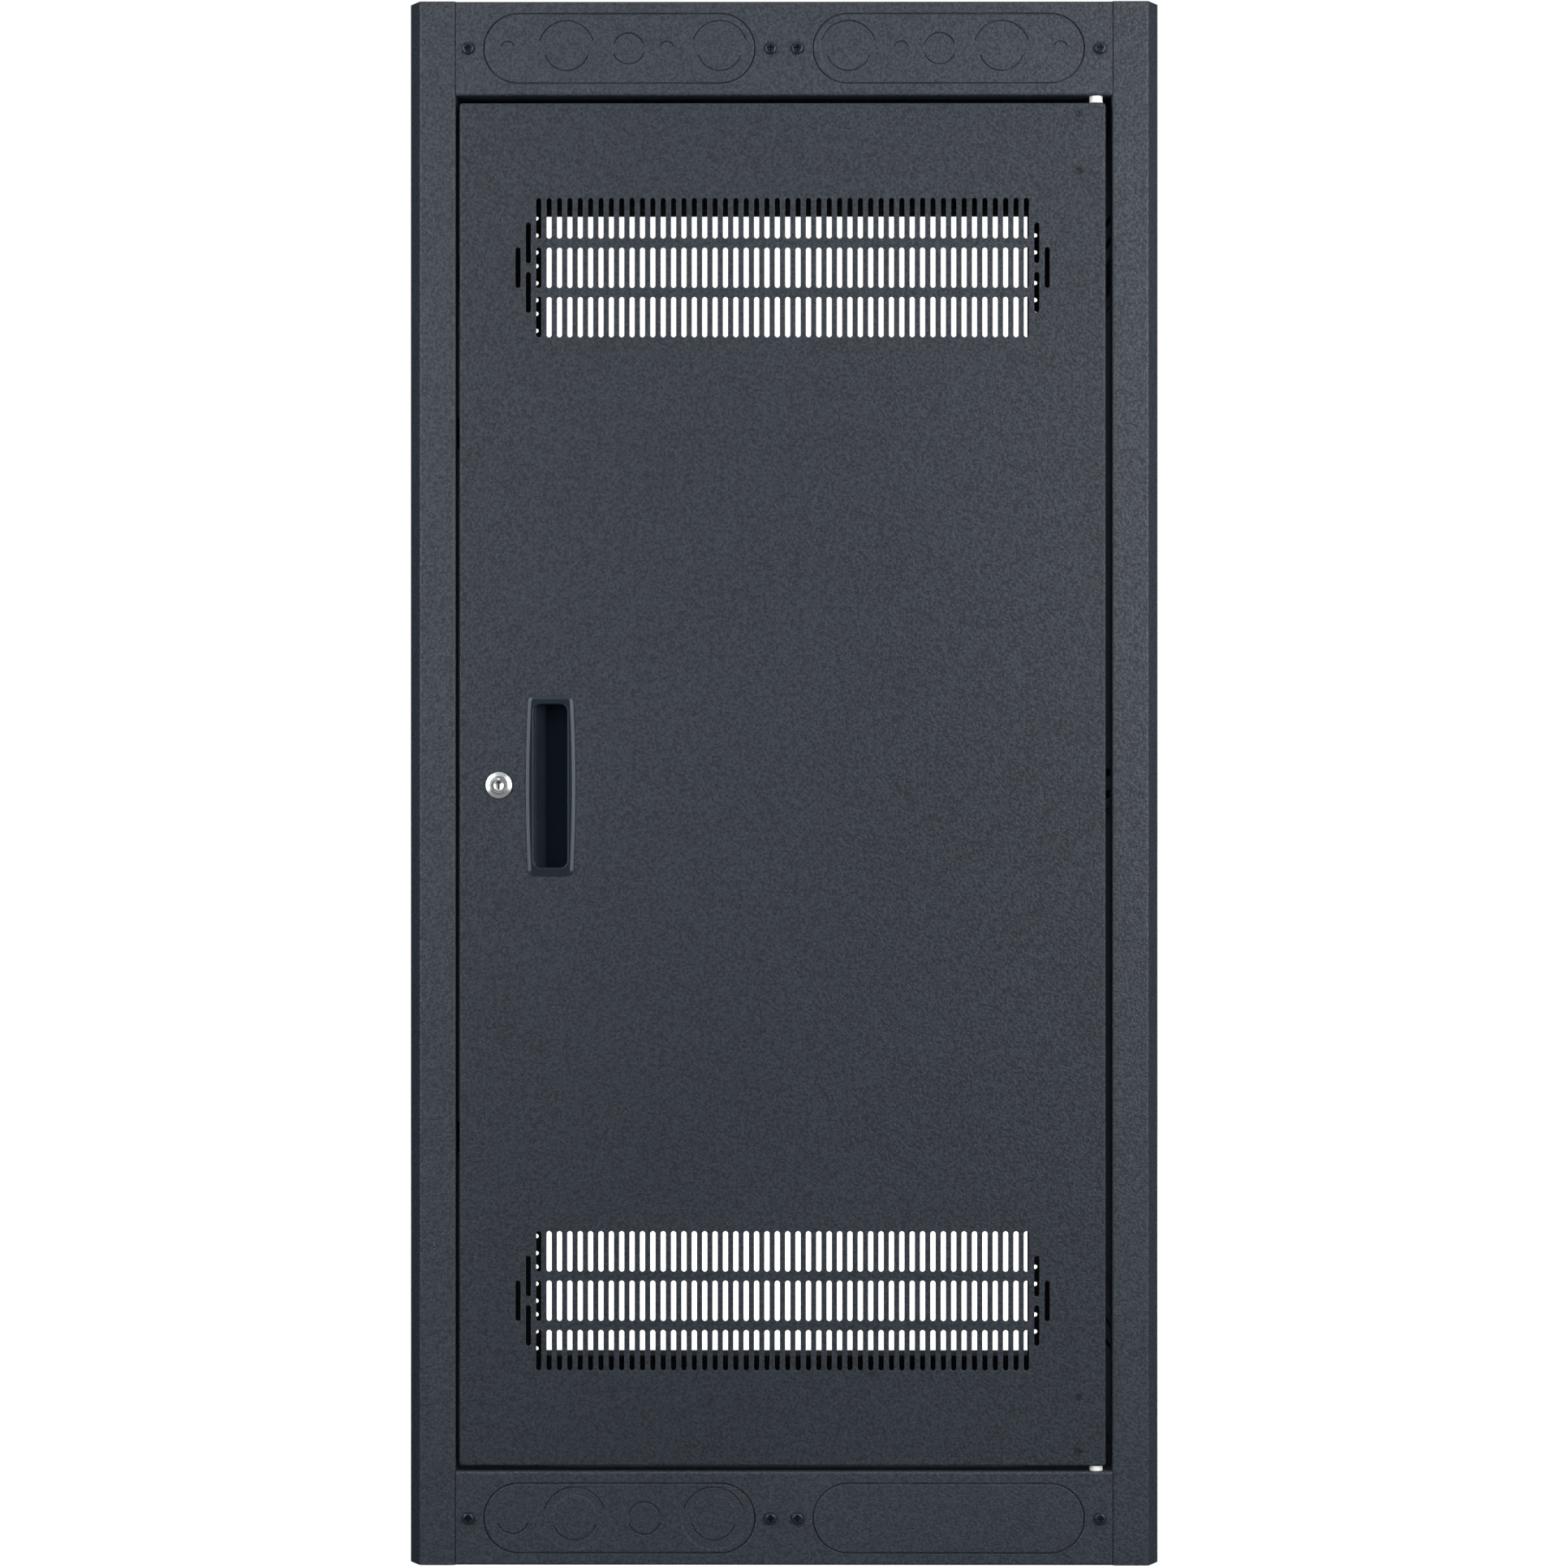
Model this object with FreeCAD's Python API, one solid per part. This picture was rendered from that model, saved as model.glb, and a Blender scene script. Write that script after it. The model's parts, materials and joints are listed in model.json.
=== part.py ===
import FreeCAD, Part
import math
import os

# Network equipment rack cabinet, 24 rack units, standing on the floor.
# Frame: +Z up, origin on the floor under the middle of the cabinet. The lockable vented
# rear door faces -Y and hangs on the +X side. Equipment slides in through the open +Y side.
# All lengths are in millimetres.

Vec = FreeCAD.Vector

# Overall size
RACK_UNIT = 44.45
RACK_UNITS = 24
WIDTH = 582.0
DEPTH = 558.8
HEIGHT = 1212.85

# Sheet metal
SHEET = 1.5
BEND = 2.2
RAIL_SHEET = 2.5
RUNNING_GAP = 0.05
PRESSED_GAP = 0.02
WELD_GAP = 0.3
FOLD_GAP = 0.8

# Cabinet shell
OPENING_HALF_WIDTH = 254.6
FACE_HALF_WIDTH = 282.4
BEVEL_DEPTH = 13.2
POST_LIP = 19.0
REAR_LIP = 19.0
FRONT_LIP = 31.9
OUTER_LIP = 16.0
SIDE_TAB = 12.0
PAN_FLANGE = 18.0

# Rear door
DOOR_LEFT = -251.9
DOOR_RIGHT = 249.6
DOOR_BOTTOM = 77.0
DOOR_TOP = 1134.2
DOOR_DEPTH = 18.0
DOOR_CORNER = 2.5
DOOR_EDGE = 1.8

# Vent fields of the door: upright slots in columns
VENT_COLUMNS = 48
VENT_ROWS = 3
VENT_PITCH = 8.046
VENT_ROW_PITCH = 38.29
VENT_SLOT_WIDTH = 4.0
VENT_SLOT_LENGTH = 31.5
VENT_CENTRE_HEIGHTS = (205.1, 1006.3)

# Hinge on the door's +X edge
HINGE_X = 242.4
HINGE_SETBACK = 6.5
PIN_RADIUS = 2.5
PIN_TIP = 1143.0
PIN_TAIL = 1068.0
PIN_TRAVEL = 9.0
PIN_HOLE = 3.5
BUSHING_RADIUS = 5.1
SLEEVE_RADIUS = 3.9
BRACKET_SPAN = (221.0, 236.0)
EAR_FRONT = 4.5
EAR_BACK = 8.5
UPPER_EARS = (1078.0, 1131.7)
LOWER_EARS = (79.5, 133.2)
LOWER_PIN_FOOT = 67.5
PIN_HEAD_RADIUS = 4.2
PIN_HEAD_HEIGHT = 2.4
COLLAR_RADIUS = 4.3
COLLAR_HEIGHT = 1.3
COLLAR_GAP = 0.1
TAIL_BEND = 4.0
TAIL_LENGTH = 13.0
SPRING_RADIUS = 3.7
SPRING_WIRE = 0.45
SPRING_TURNS = 11
WELD_SPOT_X = 228.4
WELD_SPOTS = (88.65, 130.8, 1081.0, 1125.7)
WELD_BALL = 8.0
WELD_DIMPLE = 0.3

# Cam lock and pull handle
LOCK_X = -221.1
LOCK_HEIGHT = 604.9
LOCK_HEAD_RADIUS = 10.45
LOCK_HEAD_PROUD = 3.0
LOCK_HEAD_EDGE = 0.8
LOCK_HEAD_SLOPE = (1.35, 3.4)
LOCK_NUT_FLATS = 24.0
LOCK_NUT_HEIGHT = 3.5
BARREL_RADIUS = 9.5
BARREL_FLAT = 8.0
PLUG_RADIUS = 6.4
PLUG_SUNK = 0.2
PLUG_DISH_RADIUS = 3.9
PLUG_DISH_DEPTH = 1.0
INDEX_RADIUS = 0.9
INDEX_DEPTH = 0.45
INDEX_HEIGHT = 5.1
KEYWAY_WIDE = 1.5
KEYWAY_TALL = 6.3
KEYWAY_DEPTH = 9.0
KEYWAY_HEAD_WIDE = 3.4
KEYWAY_HEAD_TALL = 1.7
TAIL_RADIUS = 4.5
TAIL_FLAT = 3.4
CAM_REACH = 41.0
CAM_WIDTH = 15.0
CAM_SHEET = 2.0
CAM_CLEARANCE = 1.0
CAM_SCREW_RADIUS = 2.0
CAM_SCREW_HEAD = 5.2
CAM_SCREW_HEAD_HEIGHT = 3.0
CAM_SCREW_LENGTH = 6.0
HANDLE_X = -181.0
HANDLE_HEIGHT = 604.4
HANDLE_TALL = 139.8
HANDLE_WIDE = 38.6
HANDLE_END_WIDE = 34.9
HANDLE_PROUD = 1.8
HANDLE_CORNER = 5.0
HANDLE_RIM = 4.4
HANDLE_SLOPE = (1.15, 2.7)
MOUTH_EDGE = 0.9
POCKET_TALL = 126.8
POCKET_WIDE = 26.1
POCKET_CORNER = 6.0
POCKET_DEPTH = 14.0
POCKET_FLOOR_START = -2.7
POCKET_UNDERCUT = 2.15
HANDLE_WALL = 1.4
HANDLE_COLLAR = 3.5
COLLAR_INSET = 4.2
FIT_GAP = 0.2
HOOK_HALF_WIDTH = 6.0
HOOK_DEPTH = 3.0
HOOK_REACH = 1.9
HOOK_SLOPE = 1.6

# Oval cable plates in the rear header and sill
OVAL_X = 127.7
OVAL_LENGTH = 211.4
OVAL_WIDTH = 55.1
OVAL_GAP = 1.0
OVAL_RECESS = 0.2
PLATE_LENGTH = 249.0
PLATE_WIDTH = 64.0
PLATE_CORNER = 4.0
OVAL_EDGE = 0.6
PLATE_SCREW_OFFSET = 117.35
SCREW_RADIUS = 2.4
SCREW_HOLE = 2.75
SCREW_HEAD_RADIUS = 4.7
SCREW_HEAD_HEIGHT = 2.9
SCREW_CROWN = 1.9
SCREW_LENGTH = 12.0
CROSS_HALF_WIDTH = 0.6
CROSS_REACH = 2.6
CROSS_DEPTH = 1.8
CLIP_HALF_WIDTH = 6.0
CLIP_SHEET = 1.0
NUT_BARREL_RADIUS = 4.2
NUT_BARREL_HEIGHT = 5.0
SHEAR_WIDTH = 0.8
SHEAR_DEPTH = 1.1
SHEAR_END = 0.3
KNOCKOUT_STEP = 0.4
DISC_STEP = 0.25
UPPER, LOWER = 1, -1

# Each knock-out: place along the plate, outer diameter, inner diameter (0 for a single one)
# and the halves of a single one's rim that are sheared open
KNOCKOUTS_TOP = (
    (-86.6, 12.0, 0, (UPPER,)),
    (-41.0, 44.0, 35.0, ()),
    (7.1, 25.0, 0, (UPPER, LOWER)),
    (36.9, 12.0, 0, (UPPER,)),
    (77.8, 44.0, 35.0, ()),
)
KNOCKOUTS_BOTTOM = (
    (-82.7, 25.0, 0, (LOWER,)),
    (-34.8, 49.0, 34.9, ()),
    (19.4, 26.0, 0, (UPPER, LOWER)),
    (73.1, 49.0, 34.9, ()),
)

# Equipment rails and the braces that carry them
RAIL_SETBACK = 29.3
RAIL_INNER = 225.4
RAIL_OUTER = 268.0
RAIL_LEG = 38.0
RAIL_END_GAP = 0.5
RAIL_HOLE_X = 232.55
RAIL_HOLE_RADIUS = 2.1
UNIT_HOLES = (6.35, 22.225, 38.1)
BRACE_HEIGHTS = {"lower": 150.0, "middle": 606.4, "upper": 1063.0}
BRACE_HALF_WEB = 20.0
BRACE_FOOT = 12.0
BRACE_REAR = -240.0
BRACE_FRONT = 244.0
BRACE_SLOT_LENGTH = 60.0
BRACE_SLOT_PITCH = 100.0
BRACE_SLOTS = 5
BOLT_RADIUS = 3.0
BOLT_HOLE = 3.25
BOLT_ROW = 9.0
BOLT_HEAD_RADIUS = 5.5
BOLT_HEAD_HEIGHT = 3.5
BOLT_CROWN = 2.2
BOLT_SPARE = 2.0
KEY_FLATS = 4.0
KEY_DEPTH = 2.2
NUT_FLATS = 10.0
NUT_HEIGHT = 5.0

# Base and top
CABLE_OPENING = (420.0, 330.0)
CABLE_CORNER = 12.0
ANCHOR_X = 240.0
ANCHOR_Y = 235.0
ANCHOR_RADIUS = 6.5
TOP_VENT_DEPTHS = (-165.0, 165.0)

# Door stops on the -X post
STOP_HEIGHTS = {"lower": 330.0, "upper": 880.0}
STOP_TALL = 24.0
STOP_EDGE_X = -243.0
STOP_BEHIND_LIP = 2.0
STOP_LEG_START = 5.0
BUMPER_RADIUS = 4.5
BUMPER_X = -249.5
BUMPER_GAP = 0.2
BUMPER_EDGE = 0.8

# Derived planes
REAR = -DEPTH / 2
FRONT = DEPTH / 2
REAR_INSIDE = REAR + SHEET
SILL_TOP = (HEIGHT - RACK_UNITS * RACK_UNIT) / 2
HEADER_BOTTOM = HEIGHT - SILL_TOP
HINGE_Y = REAR + HINGE_SETBACK
DOOR_BACK = REAR + DOOR_DEPTH
DOOR_MIDDLE = (DOOR_LEFT + DOOR_RIGHT) / 2
RAIL_FACE = FRONT - RAIL_SETBACK
CAM_FRONT = REAR + POST_LIP + CAM_CLEARANCE
COLLAR_TOP = UPPER_EARS[1] - SHEET - COLLAR_GAP
OVAL_HEIGHTS = {"bottom": SILL_TOP / 2, "top": HEIGHT - SILL_TOP / 2}


def line(start, end):
    return Part.LineSegment(start, end).toShape()


def arc(start, middle, end):
    return Part.Arc(start, middle, end).toShape()


def extruded(edges, sweep):
    return Part.Face(Part.Wire(edges)).extrude(sweep)


def box(x_span, y_span, z_span):
    size = [high - low for low, high in (x_span, y_span, z_span)]
    return Part.makeBox(*size, Vec(x_span[0], y_span[0], z_span[0]))


def along_x(radius, x_span, y, z):
    return Part.makeCylinder(radius, x_span[1] - x_span[0], Vec(x_span[0], y, z), Vec(1, 0, 0))


def along_y(radius, y_span, x, z):
    return Part.makeCylinder(radius, y_span[1] - y_span[0], Vec(x, y_span[0], z), Vec(0, 1, 0))


def along_z(radius, z_span, x, y):
    return Part.makeCylinder(radius, z_span[1] - z_span[0], Vec(x, y, z_span[0]))


def joined(shapes):
    return shapes[0].multiFuse(shapes[1:]).removeSplitter()


def mirrored_x(shape):
    return shape.mirror(Vec(0, 0, 0), Vec(1, 0, 0))


def mirrored_y(shape):
    return shape.mirror(Vec(0, 0, 0), Vec(0, 1, 0))


def edges_along(shape, axis):
    """Straight edges of a shape that run along one axis."""
    found = []
    for edge in shape.Edges:
        ends = [vertex.Point for vertex in edge.Vertexes]
        if len(ends) == 2 and abs((ends[1] - ends[0]).normalize().dot(axis)) > 0.999:
            found.append(edge)
    return found


def edges_on_plane_y(shape, y):
    return [e for e in shape.Edges if abs(e.BoundBox.YMin - y) < 1e-4 and e.BoundBox.YLength < 1e-3]


def oval(x, z, length, width, y_span, upright=False):
    """A plate with two parallel sides and round ends, its thickness along Y."""
    reach = (length - width) / 2
    radius = width / 2

    def at(along, across):
        if upright:
            return Vec(x - across, y_span[0], z + along)
        return Vec(x + along, y_span[0], z + across)

    edges = [
        line(at(-reach, -radius), at(reach, -radius)),
        arc(at(reach, -radius), at(reach + radius, 0), at(reach, radius)),
        line(at(reach, radius), at(-reach, radius)),
        arc(at(-reach, radius), at(-reach - radius, 0), at(-reach, -radius)),
    ]
    return extruded(edges, Vec(0, y_span[1] - y_span[0], 0))


def rounded_block(x_span, y_span, z_span, corner):
    """A block whose four edges along Y are rounded."""
    block = box(x_span, y_span, z_span)
    return block.makeFillet(corner, edges_along(block, Vec(0, 1, 0)))


def hexagon_y(flats, y_span, x, z):
    """A hexagonal bar along Y, given its width across flats."""
    radius = flats / math.sqrt(3)
    corners = []
    for step in range(6):
        angle = math.radians(60 * step)
        corners.append(Vec(x + radius * math.cos(angle), y_span[0], z + radius * math.sin(angle)))
    edges = [line(corners[i - 1], corners[i]) for i in range(6)]
    return extruded(edges, Vec(0, y_span[1] - y_span[0], 0))


def fold_arc(vertex, heading_in, heading_out, radius):
    """Start, middle and end of the arc that rounds one fold of a sheet's surface."""
    turn = math.atan2(
        heading_in[0] * heading_out[1] - heading_in[1] * heading_out[0],
        heading_in[0] * heading_out[0] + heading_in[1] * heading_out[1],
    )
    side = math.copysign(1, turn)
    reach = radius * math.tan(abs(turn) / 2)
    start = (vertex[0] - reach * heading_in[0], vertex[1] - reach * heading_in[1])
    end = (vertex[0] + reach * heading_out[0], vertex[1] + reach * heading_out[1])
    centre = (start[0] - side * radius * heading_in[1], start[1] + side * radius * heading_in[0])
    away = (vertex[0] - centre[0], vertex[1] - centre[1])
    scale = radius / math.hypot(*away)
    middle = (centre[0] + scale * away[0], centre[1] + scale * away[1])
    return [start, middle, end], side


def folded_sheet(path, place, sweep, gauge=SHEET, bend=BEND):
    """A folded sheet swept along one direction.

    The path is the section of one surface, and the metal lies on the left of that path.
    Every fold has the outer radius bend. place turns a point of the path into a vector.
    """
    headings = []
    for start, end in zip(path, path[1:]):
        length = math.hypot(end[0] - start[0], end[1] - start[1])
        headings.append(((end[0] - start[0]) / length, (end[1] - start[1]) / length))
    lefts = [(-heading[1], heading[0]) for heading in headings]
    near = [[path[0]]]
    far = [[(path[0][0] + gauge * lefts[0][0], path[0][1] + gauge * lefts[0][1])]]
    for i in range(1, len(path) - 1):
        before, after = lefts[i - 1], lefts[i]
        mitre = gauge / (1 + before[0] * after[0] + before[1] * after[1])
        offset = (path[i][0] + mitre * (before[0] + after[0]), path[i][1] + mitre * (before[1] + after[1]))
        side = fold_arc(path[i], headings[i - 1], headings[i], bend)[1]
        near_radius = bend if side > 0 else bend - gauge
        far_radius = bend - gauge if side > 0 else bend
        near.append(fold_arc(path[i], headings[i - 1], headings[i], near_radius)[0])
        far.append(fold_arc(offset, headings[i - 1], headings[i], far_radius)[0])
    near.append([path[-1]])
    far.append([(path[-1][0] + gauge * lefts[-1][0], path[-1][1] + gauge * lefts[-1][1])])
    loop = near + [stop[::-1] for stop in far[::-1]] + [[path[0]]]
    edges = []
    pen = loop[0][-1]
    for stop in loop[1:]:
        edges.append(line(place(*pen), place(*stop[0])))
        if len(stop) == 3:
            edges.append(arc(place(*stop[0]), place(*stop[1]), place(*stop[2])))
        pen = stop[-1]
    return extruded(edges, sweep)


def side_panel():
    """The +X side: wall, two bevelled corners, two corner posts and their return lips."""
    bevel_end = REAR + BEVEL_DEPTH
    path = [
        (OPENING_HALF_WIDTH, REAR + POST_LIP),
        (OPENING_HALF_WIDTH, REAR),
        (FACE_HALF_WIDTH, REAR),
        (WIDTH / 2, bevel_end),
        (WIDTH / 2, -bevel_end),
        (FACE_HALF_WIDTH, FRONT),
        (OPENING_HALF_WIDTH, FRONT),
        (OPENING_HALF_WIDTH, FRONT - POST_LIP),
    ]
    panel = folded_sheet(path, lambda x, y: Vec(x, y, 0), Vec(0, 0, HEIGHT))
    # The return lips stop short of the top and base sheets, which pass over their ends.
    notch_x = (OPENING_HALF_WIDTH - 1, OPENING_HALF_WIDTH + BEND)
    clear = 2 * SHEET + WELD_GAP
    for z_span in ((-1, clear), (HEIGHT - clear, HEIGHT + 1)):
        panel = panel.cut(box(notch_x, (REAR + BEND, REAR + POST_LIP + 1), z_span))
        panel = panel.cut(box(notch_x, (FRONT - POST_LIP - 1, FRONT - BEND), z_span))
    return panel


def rear_cross_member(bottom, top, lip_bottom, lip_top):
    """A panel across the rear between the posts, with a lip at its top and at its bottom."""
    path = [(REAR + lip_top, top), (REAR, top), (REAR, bottom), (REAR + lip_bottom, bottom)]
    left = -OPENING_HALF_WIDTH
    member = folded_sheet(path, lambda y, z: Vec(left, y, z), Vec(2 * OPENING_HALF_WIDTH, 0, 0))
    inset = SHEET / 2
    clear = 2 * SHEET + WELD_GAP
    tab = box(
        (OPENING_HALF_WIDTH - SHEET, OPENING_HALF_WIDTH),
        (REAR + inset, REAR + SIDE_TAB),
        (max(bottom + inset, clear), min(top - inset, HEIGHT - clear)),
    )
    return joined([member, tab, mirrored_x(tab)])


def open_for_plates(member, height):
    """The two oval openings and the screw holes of a rear header or sill."""
    through = (REAR - 1, REAR_INSIDE + 1)
    for x in (-OVAL_X, OVAL_X):
        member = member.cut(oval(x, height, OVAL_LENGTH, OVAL_WIDTH, through))
        for offset in (-PLATE_SCREW_OFFSET, PLATE_SCREW_OFFSET):
            member = member.cut(along_y(SCREW_HOLE, through, x + offset, height))
    return member


def rear_header():
    header = rear_cross_member(HEADER_BOTTOM, HEIGHT, REAR_LIP, OUTER_LIP)
    header = open_for_plates(header, OVAL_HEIGHTS["top"])
    seat = along_z(SLEEVE_RADIUS, (HEADER_BOTTOM - 1, HEADER_BOTTOM + 2 * SHEET), HINGE_X, HINGE_Y)
    return header.cut(seat)


def rear_sill():
    sill = rear_cross_member(0, SILL_TOP, OUTER_LIP, REAR_LIP)
    sill = open_for_plates(sill, OVAL_HEIGHTS["bottom"])
    seat = along_z(SLEEVE_RADIUS, (SILL_TOP - 2 * SHEET, SILL_TOP + 1), HINGE_X, HINGE_Y)
    return sill.cut(seat)


def front_header():
    return mirrored_y(rear_cross_member(HEADER_BOTTOM, HEIGHT, FRONT_LIP, OUTER_LIP))


def front_sill():
    return mirrored_y(rear_cross_member(0, SILL_TOP, OUTER_LIP, FRONT_LIP))


def floor_outline(z):
    """Outline of a sheet that fits inside the shell, clear of its walls and folds."""
    run = WIDTH / 2 - FACE_HALF_WIDTH
    slant = math.hypot(run, BEVEL_DEPTH)
    across, along = BEVEL_DEPTH / slant, run / slant
    x_out = WIDTH / 2 - SHEET - WELD_GAP
    y_out = FRONT - SHEET - FOLD_GAP
    reach = across * WIDTH / 2 + along * (FRONT - BEVEL_DEPTH) - SHEET - WELD_GAP
    side_corner = (x_out, (reach - across * x_out) / along)
    front_corner = ((reach - along * y_out) / across, y_out)
    points = [side_corner, front_corner]
    points += [(-x, y) for x, y in points[::-1]]
    points += [(-x, -y) for x, y in points]
    places = [Vec(x, y, z) for x, y in points]
    return [line(places[i - 1], places[i]) for i in range(len(places))]


def shell_sheet(bottom, flange_span):
    """A horizontal sheet inside the shell, with a flange along each side wall."""
    sheet = extruded(floor_outline(bottom), Vec(0, 0, SHEET))
    wall = WIDTH / 2 - SHEET - WELD_GAP
    flange_end = FRONT - 2 * POST_LIP
    flange = box((wall - SHEET, wall), (-flange_end, flange_end), flange_span)
    return joined([sheet, flange, mirrored_x(flange)])


def base_pan():
    """The floor of the cabinet, with a cable opening and four anchor holes."""
    pan = shell_sheet(SHEET, (SHEET, SHEET + PAN_FLANGE))
    half_x, half_y = CABLE_OPENING[0] / 2, CABLE_OPENING[1] / 2
    opening = box((-half_x, half_x), (-half_y, half_y), (0, PAN_FLANGE))
    opening = opening.makeFillet(CABLE_CORNER, edges_along(opening, Vec(0, 0, 1)))
    pan = pan.cut(opening)
    for x in (-ANCHOR_X, ANCHOR_X):
        for y in (-ANCHOR_Y, ANCHOR_Y):
            pan = pan.cut(along_z(ANCHOR_RADIUS, (0, PAN_FLANGE), x, y))
    return pan


def top_panel():
    """The roof, with two vent fields of slots that run front to back."""
    top = HEIGHT - SHEET
    roof = shell_sheet(top - SHEET, (top - PAN_FLANGE, top))
    slots = []
    for centre in TOP_VENT_DEPTHS:
        for column in range(VENT_COLUMNS):
            for row in (-0.5, 0.5):
                x = (column - (VENT_COLUMNS - 1) / 2) * VENT_PITCH
                y = centre + row * VENT_ROW_PITCH
                span = (-2 * SHEET, 2 * SHEET)
                slot = oval(0, 0, VENT_SLOT_LENGTH, VENT_SLOT_WIDTH, span, upright=True)
                slot.rotate(Vec(0, 0, 0), Vec(1, 0, 0), 90)
                slot.translate(Vec(x, y, top))
                slots.append(slot)
    return roof.cut(Part.makeCompound(slots))


def shear_arc(x, z, diameter, half):
    """The blind crack along the upper or lower half of a knock-out's rim."""
    radius = diameter / 2
    span = (REAR - 1, REAR + OVAL_RECESS + SHEAR_DEPTH)
    ring = along_y(radius, span, x, z).cut(along_y(radius - SHEAR_WIDTH, span, x, z))
    z_span = sorted((z + half * SHEAR_END * radius, z + half * (radius + 1)))
    return ring.common(box((x - radius - 1, x + radius + 1), span, z_span))


def knockout(x, z, outer, inner, sheared):
    """Cutters of one half-sheared knock-out: a sunk disc, or a sunk ring round a flush disc."""
    step = (REAR - 1, REAR + OVAL_RECESS + (KNOCKOUT_STEP if inner else DISC_STEP))
    if not inner:
        disc = along_y(outer / 2, step, x, z)
        return [disc] + [shear_arc(x, z, outer, half) for half in sheared]
    ring = along_y(outer / 2, step, x, z).cut(along_y(inner / 2, step, x, z))
    return [ring, shear_arc(x, z, outer, UPPER), shear_arc(x, z, inner, LOWER)]


def cable_plate(x, height, knockouts, flip=1):
    """A plate screwed behind an oval opening, its raised middle flush with the outside."""
    flange = rounded_block(
        (x - PLATE_LENGTH / 2, x + PLATE_LENGTH / 2),
        (REAR_INSIDE, REAR_INSIDE + SHEET),
        (height - PLATE_WIDTH / 2, height + PLATE_WIDTH / 2),
        PLATE_CORNER,
    )
    face = REAR + OVAL_RECESS
    length, width = OVAL_LENGTH - 2 * OVAL_GAP, OVAL_WIDTH - 2 * OVAL_GAP
    raised = oval(x, height, length, width, (face, REAR_INSIDE + SHEET))
    raised = raised.makeFillet(OVAL_EDGE, edges_on_plane_y(raised, face))
    hollow_span = (face + SHEET, REAR_INSIDE + 2 * SHEET)
    hollow = oval(x, height, length - 2 * SHEET, width - 2 * SHEET, hollow_span)
    plate = joined([flange, raised]).cut(hollow)
    for offset, outer, inner, sheared in knockouts:
        for cutter in knockout(x + flip * offset, height, outer, inner, sheared):
            plate = plate.cut(cutter)
    for offset in (-PLATE_SCREW_OFFSET, PLATE_SCREW_OFFSET):
        plate = plate.cut(along_y(SCREW_HOLE, (REAR, REAR + 3 * SHEET), x + offset, height))
    return plate


def plate_screw_places():
    return [
        (x + offset, height)
        for height in OVAL_HEIGHTS.values()
        for x in (-OVAL_X, OVAL_X)
        for offset in (-PLATE_SCREW_OFFSET, PLATE_SCREW_OFFSET)
    ]


def cross_recess(screw, x, z, y_span):
    """The screw with a cross-shaped driver recess sunk into it."""
    long, short = CROSS_REACH, CROSS_HALF_WIDTH
    screw = screw.cut(box((x - long, x + long), y_span, (z - short, z + short)))
    return screw.cut(box((x - short, x + short), y_span, (z - long, z + long)))


def plate_screw(x, z):
    """A pan-head screw with a cross recess."""
    crown = REAR - SCREW_HEAD_HEIGHT
    head = along_y(SCREW_HEAD_RADIUS, (crown, REAR), x, z)
    head = head.makeFillet(SCREW_CROWN, edges_on_plane_y(head, crown))
    shank = along_y(SCREW_RADIUS, (REAR - 1, REAR + SCREW_LENGTH), x, z)
    return cross_recess(joined([head, shank]), x, z, (crown - 1, crown + CROSS_DEPTH))


def plate_nut(x, z):
    """A nut on a square clip behind a plate."""
    seat = REAR_INSIDE + SHEET
    half = CLIP_HALF_WIDTH
    clip = rounded_block((x - half, x + half), (seat, seat + CLIP_SHEET), (z - half, z + half), CLIP_SHEET)
    barrel = along_y(NUT_BARREL_RADIUS, (seat, seat + NUT_BARREL_HEIGHT), x, z)
    bore = along_y(SCREW_RADIUS + RUNNING_GAP, (REAR, REAR + SCREW_LENGTH), x, z)
    return joined([clip, barrel]).cut(bore)


def rail_bolt_places():
    y = RAIL_FACE - RAIL_LEG / 2
    return [(y, z + row) for z in BRACE_HEIGHTS.values() for row in (-BOLT_ROW, BOLT_ROW)]


def equipment_rail():
    """The +X rail: an angle with three tapped holes in each rack unit."""
    path = [(RAIL_OUTER, RAIL_FACE - RAIL_LEG), (RAIL_OUTER, RAIL_FACE), (RAIL_INNER, RAIL_FACE)]
    low = SILL_TOP + RAIL_END_GAP
    sweep = Vec(0, 0, RACK_UNITS * RACK_UNIT - 2 * RAIL_END_GAP)
    rail = folded_sheet(path, lambda x, y: Vec(x, y, low), sweep, RAIL_SHEET, 2 * RAIL_SHEET)
    holes = []
    for unit in range(RACK_UNITS):
        for height in UNIT_HOLES:
            z = SILL_TOP + unit * RACK_UNIT + height
            span = (RAIL_FACE - 2 * RAIL_SHEET, RAIL_FACE + 1)
            holes.append(along_y(RAIL_HOLE_RADIUS, span, RAIL_HOLE_X, z))
    for y, z in rail_bolt_places():
        holes.append(along_x(BOLT_HOLE, (RAIL_OUTER - 2 * RAIL_SHEET, RAIL_OUTER + 1), y, z))
    return rail.cut(Part.makeCompound(holes))


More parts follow.
